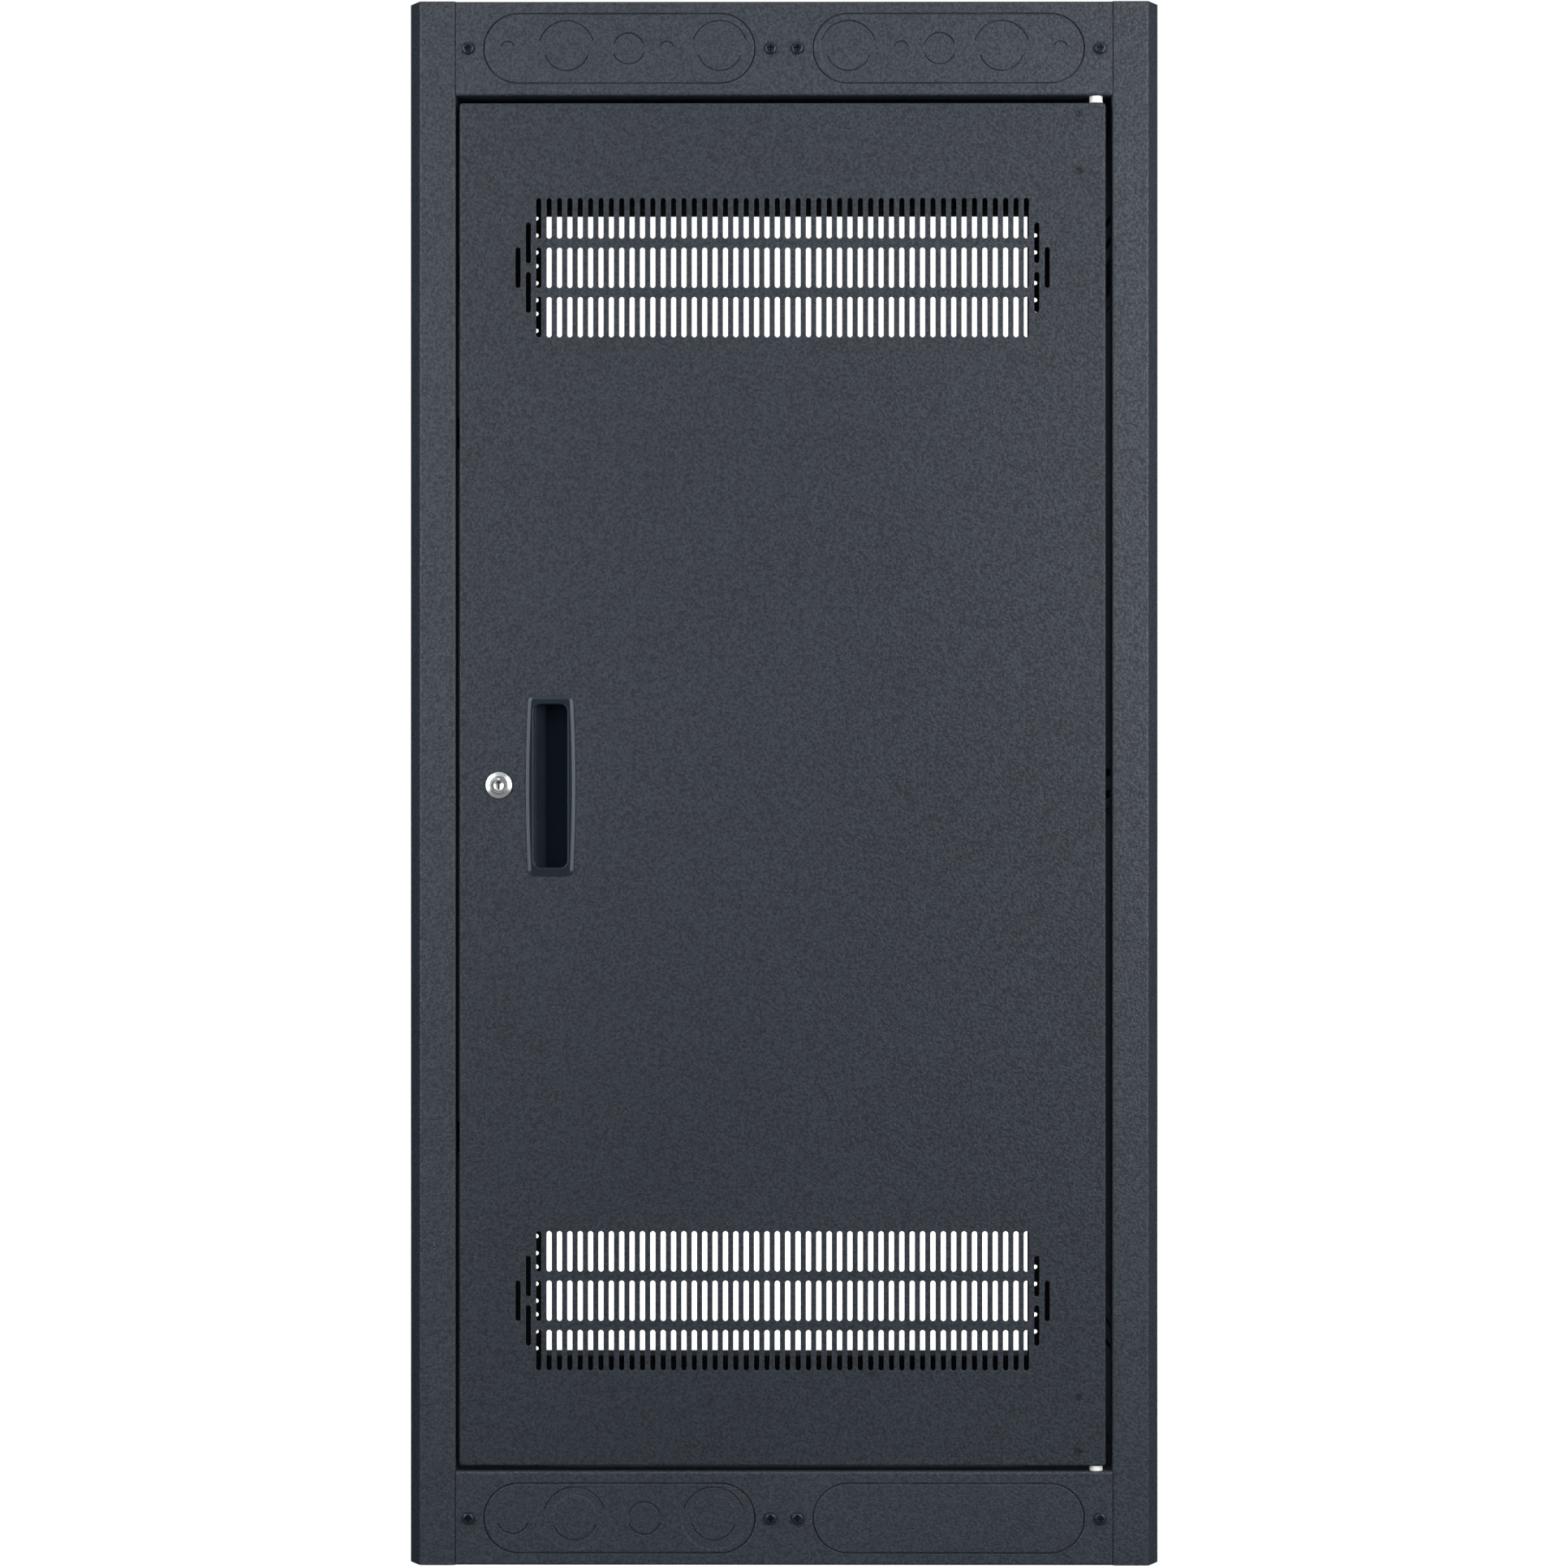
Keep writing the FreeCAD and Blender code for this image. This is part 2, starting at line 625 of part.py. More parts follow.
def side_brace(height):
    """A +X brace: a hat section on the side wall, slotted so that the rail can shift."""
    wall = WIDTH / 2 - SHEET
    hollow = RAIL_OUTER + SHEET
    path = [
        (wall, -BRACE_HALF_WEB - BRACE_FOOT),
        (wall, -BRACE_HALF_WEB),
        (hollow, -BRACE_HALF_WEB),
        (hollow, BRACE_HALF_WEB),
        (wall, BRACE_HALF_WEB),
        (wall, BRACE_HALF_WEB + BRACE_FOOT),
    ]
    sweep = Vec(0, BRACE_FRONT - BRACE_REAR, 0)
    brace = folded_sheet(path, lambda x, z: Vec(x, BRACE_REAR, height + z), sweep)
    # The rail's bolts sit near the front end of the first pair of slots.
    first = RAIL_FACE - RAIL_LEG / 2 - BRACE_SLOT_LENGTH / 2 + 2 * BOLT_HOLE
    slots = []
    for step in range(BRACE_SLOTS):
        for row in (-BOLT_ROW, BOLT_ROW):
            slot = oval(0, 0, BRACE_SLOT_LENGTH, 2 * BOLT_HOLE, (-2 * SHEET, 2 * SHEET))
            slot.rotate(Vec(0, 0, 0), Vec(0, 0, 1), 90)
            slot.translate(Vec(RAIL_OUTER, first - step * BRACE_SLOT_PITCH, height + row))
            slots.append(slot)
    return brace.cut(Part.makeCompound(slots))


def turned_to_x(shape, x, y, z):
    """A shape made along +Y at the origin, turned to run along +X and moved to a place."""
    shape.rotate(Vec(0, 0, 0), Vec(0, 0, 1), -90)
    shape.translate(Vec(x, y, z))
    return shape


def rail_bolt(y, z):
    """A button-head bolt that holds the +X rail to its brace."""
    seat = RAIL_OUTER - RAIL_SHEET
    head = along_y(BOLT_HEAD_RADIUS, (0, BOLT_HEAD_HEIGHT), 0, 0)
    head = head.makeFillet(BOLT_CROWN, edges_on_plane_y(head, 0))
    reach = BOLT_HEAD_HEIGHT + RAIL_SHEET + SHEET + NUT_HEIGHT + BOLT_SPARE
    shank = along_y(BOLT_RADIUS, (1, reach), 0, 0)
    bolt = joined([head, shank]).cut(hexagon_y(KEY_FLATS, (0, KEY_DEPTH), 0, 0))
    return turned_to_x(bolt, seat - BOLT_HEAD_HEIGHT, y, z)


def rail_nut(y, z):
    """A hexagon nut in the hollow of a +X brace."""
    bore = along_y(BOLT_RADIUS + RUNNING_GAP, (-1, NUT_HEIGHT + 1), 0, 0)
    nut = hexagon_y(NUT_FLATS, (0, NUT_HEIGHT), 0, 0).cut(bore)
    return turned_to_x(nut, RAIL_OUTER + SHEET, y, z)


def on_both_sides(make):
    """One compound of fasteners: each +X one and its mirror image."""
    right = [make(y, z) for y, z in rail_bolt_places()]
    return Part.makeCompound(right + [mirrored_x(one) for one in right])


def vent_slots():
    """Slots of both vent fields, with the stepped columns at their two ends."""
    places = []
    last = (VENT_COLUMNS - 1) / 2
    for column in range(VENT_COLUMNS):
        for row in range(VENT_ROWS):
            places.append((column - last, row - (VENT_ROWS - 1) / 2))
    for side in (-1, 1):
        places += [(side * (last + 1), -0.5), (side * (last + 1), 0.5), (side * (last + 2), 0)]
    slots = []
    for centre in VENT_CENTRE_HEIGHTS:
        for column, row in places:
            x = DOOR_MIDDLE + column * VENT_PITCH
            z = centre + row * VENT_ROW_PITCH
            through = (REAR - 1, REAR_INSIDE + 1)
            slots.append(oval(x, z, VENT_SLOT_LENGTH, VENT_SLOT_WIDTH, through, upright=True))
    return slots


def lock_bore(y_span, gap):
    """The round hole with two flats that a lock barrel fills."""
    hole = along_y(BARREL_RADIUS + gap, y_span, LOCK_X, LOCK_HEIGHT)
    flat = BARREL_FLAT + gap
    reach = 2 * BARREL_RADIUS
    keep = box((LOCK_X - flat, LOCK_X + flat), y_span, (LOCK_HEIGHT - reach, LOCK_HEIGHT + reach))
    return hole.common(keep)


def door_panel():
    """The rear door: a shallow pan with folded edges and two vent fields."""
    outer = rounded_block(
        (DOOR_LEFT, DOOR_RIGHT), (REAR, DOOR_BACK), (DOOR_BOTTOM, DOOR_TOP), DOOR_CORNER
    )
    outer = outer.makeFillet(DOOR_EDGE, edges_on_plane_y(outer, REAR))
    inner = rounded_block(
        (DOOR_LEFT + SHEET, DOOR_RIGHT - SHEET),
        (REAR_INSIDE, DOOR_BACK + 1),
        (DOOR_BOTTOM + SHEET, DOOR_TOP - SHEET),
        DOOR_CORNER - SHEET,
    )
    cutters = vent_slots()
    cutters.append(lock_bore((REAR - 1, REAR + 2 * SHEET), 2 * RUNNING_GAP))
    cutters.append(handle_cutout())
    cutters.append(along_z(PIN_HOLE, (DOOR_BOTTOM - 1, DOOR_BOTTOM + 2 * SHEET), HINGE_X, HINGE_Y))
    cutters.append(along_z(PIN_HOLE, (DOOR_TOP - 2 * SHEET, DOOR_TOP + 1), HINGE_X, HINGE_Y))
    for height in WELD_SPOTS:
        centre = Vec(WELD_SPOT_X, REAR - WELD_BALL + WELD_DIMPLE, height)
        cutters.append(Part.makeSphere(WELD_BALL, centre))
    return outer.cut(inner).cut(Part.makeCompound(cutters))


def handle_cutout():
    half_x = POCKET_WIDE / 2 + POCKET_UNDERCUT + HANDLE_WALL + FIT_GAP
    half_z = HANDLE_TALL / 2 - HANDLE_RIM + FIT_GAP
    return rounded_block(
        (HANDLE_X - half_x, HANDLE_X + half_x),
        (REAR - 1, REAR_INSIDE + 1),
        (HANDLE_HEIGHT - half_z, HANDLE_HEIGHT + half_z),
        HANDLE_CORNER,
    )


def handle_rim():
    """The rim of the pull: straight ends, slightly bowed sides and rounded corners."""
    half_z = HANDLE_TALL / 2
    end_x = HANDLE_END_WIDE / 2
    side_x = HANDLE_WIDE / 2
    front = REAR - HANDLE_PROUD

    def at(x, z):
        return Vec(HANDLE_X + x, front, HANDLE_HEIGHT + z)

    edges = [
        line(at(-end_x, -half_z), at(end_x, -half_z)),
        arc(at(end_x, -half_z), at(side_x, 0), at(end_x, half_z)),
        line(at(end_x, half_z), at(-end_x, half_z)),
        arc(at(-end_x, half_z), at(-side_x, 0), at(-end_x, -half_z)),
    ]
    rim = extruded(edges, Vec(0, HANDLE_PROUD, 0))
    rim = rim.makeFillet(HANDLE_CORNER, edges_along(rim, Vec(0, 1, 0)))
    depth, width = HANDLE_SLOPE
    return rim.makeChamfer(depth, width, edges_on_plane_y(rim, front))


def handle_prism(section, half_z):
    """A closed section of the pull, given as (x, y) points, swept over its height."""
    places = [Vec(HANDLE_X + x, y, HANDLE_HEIGHT - half_z) for x, y in section]
    edges = [line(places[i - 1], places[i]) for i in range(len(places))]
    return extruded(edges, Vec(0, 0, 2 * half_z))


def handle_pocket():
    """The finger space: a slanted wall on one side and an undercut on the other."""
    half_x = POCKET_WIDE / 2
    half_z = POCKET_TALL / 2
    floor = REAR + POCKET_DEPTH
    undercut = half_x + POCKET_UNDERCUT
    z_span = (HANDLE_HEIGHT - half_z, HANDLE_HEIGHT + half_z)
    mouth = rounded_block(
        (HANDLE_X - half_x, HANDLE_X + half_x),
        (REAR - 2 * HANDLE_PROUD, REAR + HANDLE_PROUD),
        z_span,
        POCKET_CORNER,
    )
    section = [
        (-half_x, REAR),
        (POCKET_FLOOR_START, floor),
        (undercut, floor),
        (undercut, REAR + HANDLE_PROUD),
        (half_x, REAR),
    ]
    shaft_x = (HANDLE_X - half_x, HANDLE_X + undercut)
    shaft = rounded_block(shaft_x, (REAR - 1, floor + 1), z_span, POCKET_CORNER)
    return mouth.fuse(handle_prism(section, half_z).common(shaft))


def snap_hook():
    """A sloped hook on the end of the pull, seen at height zero and pointing up."""
    near = REAR_INSIDE + FIT_GAP
    span_x = (HANDLE_X - HOOK_HALF_WIDTH, HANDLE_X + HOOK_HALF_WIDTH)
    hook = box(span_x, (near, near + HOOK_DEPTH), (-1, HOOK_REACH))
    crest = [
        e for e in edges_along(hook, Vec(1, 0, 0))
        if e.BoundBox.ZMin > HOOK_REACH - 0.1 and e.BoundBox.YMin > near + HOOK_DEPTH - 0.1
    ]
    return hook.makeChamfer(HOOK_SLOPE, crest)


def pull_handle():
    """The moulded recessed pull, with a snap hook at each end behind the door sheet."""
    half_x = POCKET_WIDE / 2 + POCKET_UNDERCUT + HANDLE_WALL
    half_z = HANDLE_TALL / 2 - HANDLE_RIM
    back = REAR + POCKET_DEPTH + HANDLE_WALL
    section = [
        (-half_x, REAR - 0.5),
        (-half_x, REAR + HANDLE_COLLAR),
        (COLLAR_INSET - half_x, REAR + HANDLE_COLLAR),
        (POCKET_FLOOR_START - 1, back),
        (half_x, back),
        (half_x, REAR - 0.5),
    ]
    body = handle_prism(section, half_z)
    corners = [
        e for e in edges_along(body, Vec(0, 1, 0))
        if abs(abs(e.BoundBox.Center.x - HANDLE_X) - half_x) < 1e-3
    ]
    body = body.makeFillet(HANDLE_CORNER - FIT_GAP, corners)
    upper = snap_hook()
    lower = upper.mirror(Vec(0, 0, 0), Vec(0, 0, 1))
    upper.translate(Vec(0, 0, HANDLE_HEIGHT + half_z))
    lower.translate(Vec(0, 0, HANDLE_HEIGHT - half_z))
    pull = joined([handle_rim(), body, upper, lower]).cut(handle_pocket())
    mouth = [
        e for e in edges_on_plane_y(pull, REAR - HANDLE_PROUD)
        if abs(e.BoundBox.Center.x - HANDLE_X) < (POCKET_WIDE + SHEET) / 2
        and abs(e.BoundBox.Center.z - HANDLE_HEIGHT) < (POCKET_TALL + SHEET) / 2
    ]
    return pull.makeFillet(MOUTH_EDGE, mouth)


def lock_housing():
    """The lock's chromed head and its barrel with two flats."""
    front = REAR - LOCK_HEAD_PROUD
    head = along_y(LOCK_HEAD_RADIUS, (front, REAR), LOCK_X, LOCK_HEIGHT)
    depth, width = LOCK_HEAD_SLOPE
    head = head.makeChamfer(depth, width, edges_on_plane_y(head, front))
    head = head.makeFillet(LOCK_HEAD_EDGE, edges_on_plane_y(head, front + depth))
    barrel = lock_bore((REAR - 1, CAM_FRONT - CAM_CLEARANCE / 2), 0)
    bore = along_y(PLUG_RADIUS + RUNNING_GAP, (front - 1, CAM_FRONT + 1), LOCK_X, LOCK_HEIGHT)
    return joined([head, barrel]).cut(bore)


def lock_nut():
    nut = hexagon_y(LOCK_NUT_FLATS, (REAR_INSIDE, REAR_INSIDE + LOCK_NUT_HEIGHT), LOCK_X, LOCK_HEIGHT)
    return nut.cut(along_y(BARREL_RADIUS + RUNNING_GAP, (REAR, DOOR_BACK), LOCK_X, LOCK_HEIGHT))


def plug_tail(y_span, gap):
    """The double-D shape on which the cam sits."""
    tail = along_y(TAIL_RADIUS + gap, y_span, LOCK_X, LOCK_HEIGHT)
    flat = TAIL_FLAT + gap
    reach = 2 * TAIL_RADIUS
    keep = box((LOCK_X - flat, LOCK_X + flat), y_span, (LOCK_HEIGHT - reach, LOCK_HEIGHT + reach))
    return tail.common(keep)


def dimple(radius, depth, front, z):
    """The ball that leaves a round hollow of this radius and depth in the lock's front."""
    ball = (radius ** 2 + depth ** 2) / (2 * depth)
    return Part.makeSphere(ball, Vec(LOCK_X, front + depth - ball, z))


def lock_plug():
    """The turning core, with its keyway upright when the door is unlocked."""
    front = REAR - LOCK_HEAD_PROUD + PLUG_SUNK
    core = along_y(PLUG_RADIUS, (front, CAM_FRONT), LOCK_X, LOCK_HEIGHT)
    core = core.makeFillet(2 * PLUG_SUNK, edges_on_plane_y(core, front))
    plug = joined([core, plug_tail((CAM_FRONT - 1, CAM_FRONT + CAM_SHEET - COLLAR_GAP), 0)])
    dish = dimple(PLUG_DISH_RADIUS, PLUG_DISH_DEPTH, front, LOCK_HEIGHT)
    index = dimple(INDEX_RADIUS, INDEX_DEPTH, front, LOCK_HEIGHT + INDEX_HEIGHT)
    keyway_top = LOCK_HEIGHT + KEYWAY_TALL / 2
    keyway_head = box(
        (LOCK_X - KEYWAY_HEAD_WIDE / 2, LOCK_X + KEYWAY_HEAD_WIDE / 2),
        (front - 1, front + KEYWAY_DEPTH),
        (keyway_top - KEYWAY_HEAD_TALL, keyway_top),
    )
    keyway = box(
        (LOCK_X - KEYWAY_WIDE / 2, LOCK_X + KEYWAY_WIDE / 2),
        (front - 1, front + KEYWAY_DEPTH),
        (keyway_top - KEYWAY_TALL, keyway_top),
    )
    thread_span = (CAM_FRONT - CAM_SCREW_LENGTH - 1, CAM_FRONT + CAM_SHEET)
    thread = along_y(CAM_SCREW_RADIUS + RUNNING_GAP, thread_span, LOCK_X, LOCK_HEIGHT)
    return plug.cut(dish).cut(index).cut(keyway).cut(keyway_head).cut(thread)


def lock_cam():
    """The flat cam, hanging down when unlocked and turned behind the post when locked."""
    y_span = (CAM_FRONT, CAM_FRONT + CAM_SHEET)
    length = CAM_REACH + CAM_WIDTH / 2
    middle = LOCK_HEIGHT + CAM_WIDTH / 2 - length / 2
    cam = oval(LOCK_X, middle, length, CAM_WIDTH, y_span, upright=True)
    return cam.cut(plug_tail((y_span[0] - 1, y_span[1] + 1), PRESSED_GAP))


def cam_screw():
    """The pan-head screw that holds the cam on the plug."""
    seat = CAM_FRONT + CAM_SHEET
    crown = seat + CAM_SCREW_HEAD_HEIGHT
    head = along_y(CAM_SCREW_HEAD, (seat, crown), LOCK_X, LOCK_HEIGHT)
    head = head.makeFillet(SCREW_CROWN, edges_on_plane_y(head, crown))
    shank = along_y(CAM_SCREW_RADIUS, (CAM_FRONT - CAM_SCREW_LENGTH, seat + 1), LOCK_X, LOCK_HEIGHT)
    recess = (crown - CROSS_DEPTH, crown + 1)
    return cross_recess(joined([head, shank]), LOCK_X, LOCK_HEIGHT, recess)


def hinge_bracket(ears):
    """A bracket welded inside the door, with two ears that carry a hinge pin.

    ears is the outer face of the lower ear and the outer face of the upper ear.
    """
    low, high = ears
    start, end = BRACKET_SPAN
    ear_back = HINGE_Y + EAR_BACK
    path = [(ear_back, high), (REAR_INSIDE, high), (REAR_INSIDE, low), (ear_back, low)]
    pieces = [folded_sheet(path, lambda y, z: Vec(start, y, z), Vec(end - start, 0, 0))]
    ear_x = (end - 1, DOOR_RIGHT - SHEET - FOLD_GAP)
    for bottom in (low, high - SHEET):
        pieces.append(box(ear_x, (HINGE_Y - EAR_FRONT, ear_back), (bottom, bottom + SHEET)))
    bore = along_z(PIN_RADIUS + RUNNING_GAP, (low - 1, high + 1), HINGE_X, HINGE_Y)
    return joined(pieces).cut(bore)


def hinge_bushing(lip_surface, lip_side, thick):
    """A nylon bushing: a thick washer on one surface of a lip and a sleeve through the lip.

    lip_side is +1 where the lip's metal lies above that surface and -1 where it lies below.
    """
    far = lip_surface - lip_side * thick
    washer = along_z(BUSHING_RADIUS, sorted((lip_surface, far)), HINGE_X, HINGE_Y)
    sleeve_ends = sorted((far, lip_surface + lip_side * 2 * SHEET))
    sleeve = along_z(SLEEVE_RADIUS - PRESSED_GAP, sleeve_ends, HINGE_X, HINGE_Y)
    bore = along_z(PIN_RADIUS + RUNNING_GAP, (lip_surface - 10, lip_surface + 10), HINGE_X, HINGE_Y)
    return joined([washer, sleeve]).cut(bore)


def hinge_pin_lower():
    """The fixed lower pin, headed above its bracket's upper ear."""
    seat = LOWER_EARS[1]
    pin = along_z(PIN_RADIUS, (LOWER_PIN_FOOT, seat + 1), HINGE_X, HINGE_Y)
    pin = pin.makeChamfer(PIN_RADIUS / 3, [e for e in pin.Edges if e.BoundBox.ZMax < LOWER_PIN_FOOT + 0.1])
    head = along_z(PIN_HEAD_RADIUS, (seat, seat + PIN_HEAD_HEIGHT), HINGE_X, HINGE_Y)
    return joined([pin, head])


def hinge_pin_upper():
    """The spring-loaded upper pin: a rod with a collar and a tail bent for a finger."""
    collar = along_z(COLLAR_RADIUS, (COLLAR_TOP - COLLAR_HEIGHT, COLLAR_TOP), HINGE_X, HINGE_Y)
    rod = along_z(PIN_RADIUS, (PIN_TAIL + TAIL_BEND, PIN_TIP), HINGE_X, HINGE_Y)
    rod = rod.makeFillet(1.0, [e for e in rod.Edges if e.BoundBox.ZMin > PIN_TIP - 0.1])
    elbow = Part.makeTorus(TAIL_BEND, PIN_RADIUS, Vec(0, 0, 0), Vec(0, 1, 0))
    elbow = elbow.common(box((0, 2 * TAIL_BEND), (-TAIL_BEND, TAIL_BEND), (-2 * TAIL_BEND, 0)))
    tail_end = HINGE_X - TAIL_BEND
    elbow.translate(Vec(tail_end, HINGE_Y, PIN_TAIL + TAIL_BEND))
    tail_start = tail_end - TAIL_LENGTH
    tail = along_x(PIN_RADIUS, (tail_start, tail_end), HINGE_Y, PIN_TAIL)
    tail = tail.makeFillet(1.0, [e for e in tail.Edges if e.BoundBox.XMax < tail_start + 0.1])
    return joined([rod, collar, elbow, tail])


def hinge_spring():
    """The compression spring between the lower ear and the pin's collar."""
    low = UPPER_EARS[0] + SHEET + SPRING_WIRE + COLLAR_GAP
    high = COLLAR_TOP - COLLAR_HEIGHT - SPRING_WIRE - COLLAR_GAP
    helix = Part.makeHelix((high - low) / SPRING_TURNS, high - low, SPRING_RADIUS)
    section = Part.Wire(Part.makeCircle(SPRING_WIRE, Vec(SPRING_RADIUS, 0, 0), Vec(0, 1, 0)))
    coil = Part.Wire(helix.Edges).makePipeShell([section], True, True)
    coil.translate(Vec(HINGE_X, HINGE_Y, low))
    return coil


def door_stop(height):
    """A small angle welded inside the -X post, behind the free edge of the door."""
    corner = (-OPENING_HALF_WIDTH - SHEET, REAR + POST_LIP + STOP_BEHIND_LIP)
    path = [(corner[0], REAR + STOP_LEG_START), corner, (STOP_EDGE_X, corner[1])]
    low = height - STOP_TALL / 2
    return folded_sheet(path, lambda x, y: Vec(x, y, low), Vec(0, 0, STOP_TALL))


def door_bumper(height):
    """A rubber button on a door stop."""
    tip = DOOR_BACK + BUMPER_GAP
    bumper = along_y(BUMPER_RADIUS, (tip, REAR + POST_LIP + STOP_BEHIND_LIP), BUMPER_X, height)
    return bumper.makeFillet(BUMPER_EDGE, edges_on_plane_y(bumper, tip))


def assembly():
    """Every sub-part by name."""
    upper, lower = OVAL_HEIGHTS["top"], OVAL_HEIGHTS["bottom"]
    upper_washer = HEADER_BOTTOM - DOOR_TOP - 2 * FIT_GAP
    lower_washer = DOOR_BOTTOM - SILL_TOP - FIT_GAP
    parts = {
        "side_right": side_panel(),
        "rear_header": rear_header(),
        "rear_sill": rear_sill(),
        "front_header": front_header(),
        "front_sill": front_sill(),
        "top_panel": top_panel(),
        "base_pan": base_pan(),
        "plate_top_left": cable_plate(-OVAL_X, upper, KNOCKOUTS_TOP),
        "plate_top_right": cable_plate(OVAL_X, upper, KNOCKOUTS_TOP, flip=-1),
        "plate_bottom_left": cable_plate(-OVAL_X, lower, KNOCKOUTS_BOTTOM),
        "plate_bottom_right": cable_plate(OVAL_X, lower, ()),
        "plate_screws": Part.makeCompound([plate_screw(x, z) for x, z in plate_screw_places()]),
        "plate_nuts": Part.makeCompound([plate_nut(x, z) for x, z in plate_screw_places()]),
        "rail_right": equipment_rail(),
        "rail_bolts": on_both_sides(rail_bolt),
        "rail_nuts": on_both_sides(rail_nut),
        "door_panel": door_panel(),
        "pull_handle": pull_handle(),
        "lock_housing": lock_housing(),
        "lock_nut": lock_nut(),
        "lock_plug": lock_plug(),
        "lock_cam": lock_cam(),
        "cam_screw": cam_screw(),
        "hinge_bracket_upper": hinge_bracket(UPPER_EARS),
        "hinge_bracket_lower": hinge_bracket(LOWER_EARS),
        "hinge_bushing_upper": hinge_bushing(HEADER_BOTTOM, 1, upper_washer),
        "hinge_bushing_lower": hinge_bushing(SILL_TOP, -1, lower_washer),
        "hinge_pin_upper": hinge_pin_upper(),
        "hinge_pin_lower": hinge_pin_lower(),
        "hinge_spring": hinge_spring(),
    }
    parts["side_left"] = mirrored_x(parts["side_right"])
    parts["rail_left"] = mirrored_x(parts["rail_right"])
    for level, height in BRACE_HEIGHTS.items():
        parts["brace_right_" + level] = side_brace(height)
        parts["brace_left_" + level] = mirrored_x(parts["brace_right_" + level])
    for level, height in STOP_HEIGHTS.items():
        parts["door_stop_" + level] = door_stop(height)
        parts["door_bumper_" + level] = door_bumper(height)
    return parts


os.makedirs("parts", exist_ok=True)
for name, shape in assembly().items():
    if not shape.isValid() or not shape.Solids:
        raise RuntimeError(name + " is not a valid solid")
    shape.exportStep("parts/" + name + ".step")
    size = shape.BoundBox
    print(
        f"{name}: {len(shape.Solids)} solid(s), {shape.Volume / 1000:.2f} cm3, "
        f"x {size.XMin:.2f}..{size.XMax:.2f} y {size.YMin:.2f}..{size.YMax:.2f} "
        f"z {size.ZMin:.2f}..{size.ZMax:.2f}"
    )
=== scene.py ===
import json
import math

import bmesh
import bpy
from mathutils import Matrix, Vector


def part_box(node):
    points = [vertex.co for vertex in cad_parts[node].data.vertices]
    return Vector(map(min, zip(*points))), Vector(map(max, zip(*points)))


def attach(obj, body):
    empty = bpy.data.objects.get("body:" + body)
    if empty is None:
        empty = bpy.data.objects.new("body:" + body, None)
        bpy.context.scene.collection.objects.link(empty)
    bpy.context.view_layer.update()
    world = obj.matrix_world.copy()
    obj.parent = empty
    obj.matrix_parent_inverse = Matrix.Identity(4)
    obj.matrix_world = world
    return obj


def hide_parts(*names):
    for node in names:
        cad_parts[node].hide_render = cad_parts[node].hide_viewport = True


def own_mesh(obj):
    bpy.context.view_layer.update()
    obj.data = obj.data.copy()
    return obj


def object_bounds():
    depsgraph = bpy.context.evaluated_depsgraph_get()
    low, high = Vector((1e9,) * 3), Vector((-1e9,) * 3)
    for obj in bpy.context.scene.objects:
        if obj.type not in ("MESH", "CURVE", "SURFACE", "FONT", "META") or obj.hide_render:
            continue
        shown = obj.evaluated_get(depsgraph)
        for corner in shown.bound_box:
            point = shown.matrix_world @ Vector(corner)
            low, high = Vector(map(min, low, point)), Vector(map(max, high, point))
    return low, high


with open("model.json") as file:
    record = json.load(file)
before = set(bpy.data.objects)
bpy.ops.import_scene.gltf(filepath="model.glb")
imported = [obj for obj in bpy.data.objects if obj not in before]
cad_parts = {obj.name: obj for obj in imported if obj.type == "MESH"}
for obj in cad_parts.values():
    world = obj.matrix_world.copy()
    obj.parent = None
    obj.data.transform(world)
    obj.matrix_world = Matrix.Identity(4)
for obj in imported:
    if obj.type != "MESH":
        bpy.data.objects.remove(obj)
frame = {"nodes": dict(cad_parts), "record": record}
cad_low, cad_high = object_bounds()

# Camera, in metres: level with the middle of the cabinet, just right of its centre line and
# turned back to it.
REAR_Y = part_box("door_panel")[0].y
CAMERA_DISTANCE = 2.6
CAMERA_X = 0.0078
CAMERA_Z = 0.6059
CAMERA_LENS = 76.99
SENSOR = 36.0
CLIP = (0.05, 120.0)

# Most of a noise texture lies between these values.
NOISE_RANGE = (0.3, 0.7)


def rgb(red, green, blue):
    return (red, green, blue, 1.0)


def grey(level):
    return rgb(level, level, level)


